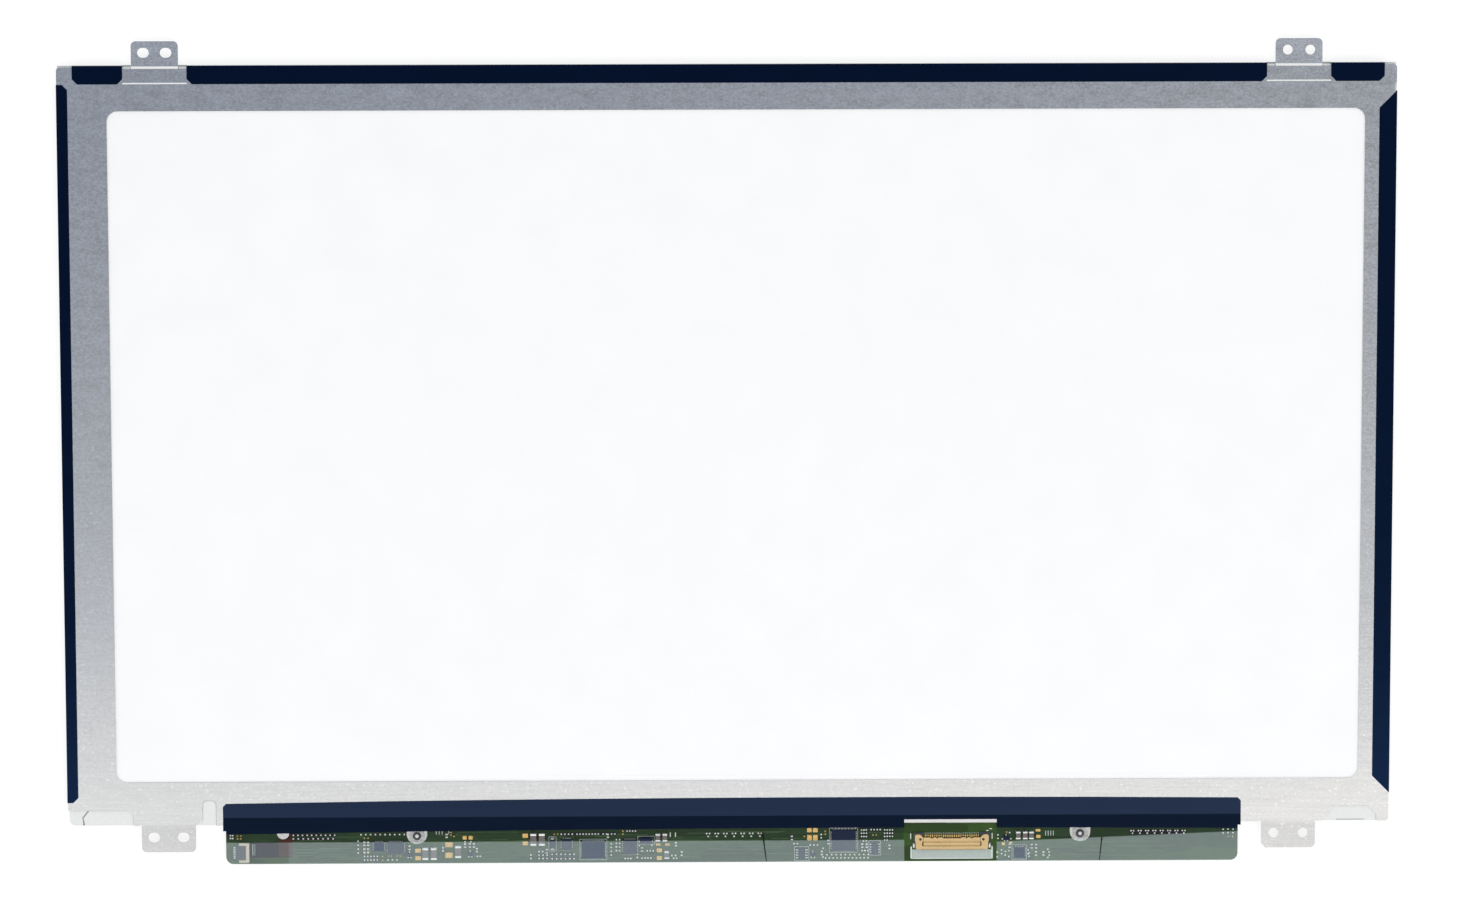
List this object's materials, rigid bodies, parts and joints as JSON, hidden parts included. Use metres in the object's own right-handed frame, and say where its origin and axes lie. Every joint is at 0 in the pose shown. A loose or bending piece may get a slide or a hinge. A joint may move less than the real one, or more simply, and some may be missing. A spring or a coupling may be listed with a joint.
{
  "type": "laptop screen panel",
  "caption": "Slim backlit laptop screen panel: glass cell and light box in a folded metal chassis with screw tabs and a control board along one long edge.",
  "frame": {"origin": "centre of the active area on the front face, with the panel lying face down", "axes": "+X along the long edges, +Y away from the control board, +Z out of the back"},
  "size_m": [0.3594, 0.2238, 0.0031],
  "materials": {
    "steel_sheet": "satin plated steel with a fine cloudy grain",
    "cell_glass": "thin polished display glass",
    "polarizer": "dark film with a soft anti-glare surface",
    "clear_film": "clear and milky optical films",
    "light_guide": "clear polished acrylic",
    "white_sheet": "bright white diffuse film",
    "white_plastic": "white moulded plastic, fine matt",
    "black_tape": "black polyester tape with a faint blue sheen",
    "board": "green solder mask over glass fibre",
    "cover_film": "thin clear film",
    "flex": "flexible circuit with a white back coat",
    "driver_film": "amber polyimide film",
    "silicon": "bare silicon, dark and glossy",
    "chip_plastic": "black moulded chip plastic",
    "capacitor": "brown-grey ceramic",
    "resistor": "dark glaze on a white ceramic",
    "connector_plastic": "ivory moulded plastic",
    "dark_plastic": "black moulded plastic",
    "plated_shell": "pale gold plated copper alloy",
    "contact_metal": "gold plated contacts",
    "led_body": "white moulded diode body",
    "phosphor": "yellow phosphor gel"
  },
  "bodies": {
    "root": {"front_polarizer": "polarizer", "color_filter_glass": "cell_glass", "tft_glass": "cell_glass", "rear_polarizer": "polarizer", "cell_seat_tape": "black_tape", "source_driver_films": "driver_film", "source_driver_chips": "silicon", "bottom_front_tape": "black_tape", "upper_diffuser": "clear_film", "upper_prism_sheet": "clear_film", "lower_prism_sheet": "clear_film", "lower_diffuser": "clear_film", "light_guide": "light_guide", "reflector_sheet": "white_sheet", "reflector_edge_strip": "white_sheet", "light_bar_flex": "flex", "leds": "led_body", "led_phosphors": "phosphor", "mold_frame": "white_plastic", "rear_chassis": "steel_sheet", "top_edge_tape": "black_tape", "left_edge_tape": "black_tape", "right_edge_tape": "black_tape", "bottom_back_tape": "black_tape", "board_film": "cover_film", "control_board": "board", "signal_connector_shell": "plated_shell", "signal_connector_housing": "dark_plastic", "signal_connector_contacts": "contact_metal", "backlight_connector_housing": "dark_plastic", "backlight_connector_lock": "connector_plastic", "backlight_connector_contacts": "contact_metal", "timing_controller": "chip_plastic", "gamma_chip": "chip_plastic", "level_shifter": "chip_plastic", "light_driver_chip": "chip_plastic", "power_chip": "chip_plastic", "common_amplifier": "chip_plastic", "memory_chip": "chip_plastic", "load_switch": "chip_plastic", "buck_chip": "chip_plastic", "choke": "chip_plastic", "diode": "chip_plastic", "large_capacitors": "capacitor", "medium_capacitors": "capacitor", "small_capacitors": "capacitor", "chip_resistors": "resistor", "transistors": "chip_plastic"}
  },
  "joints": []
}
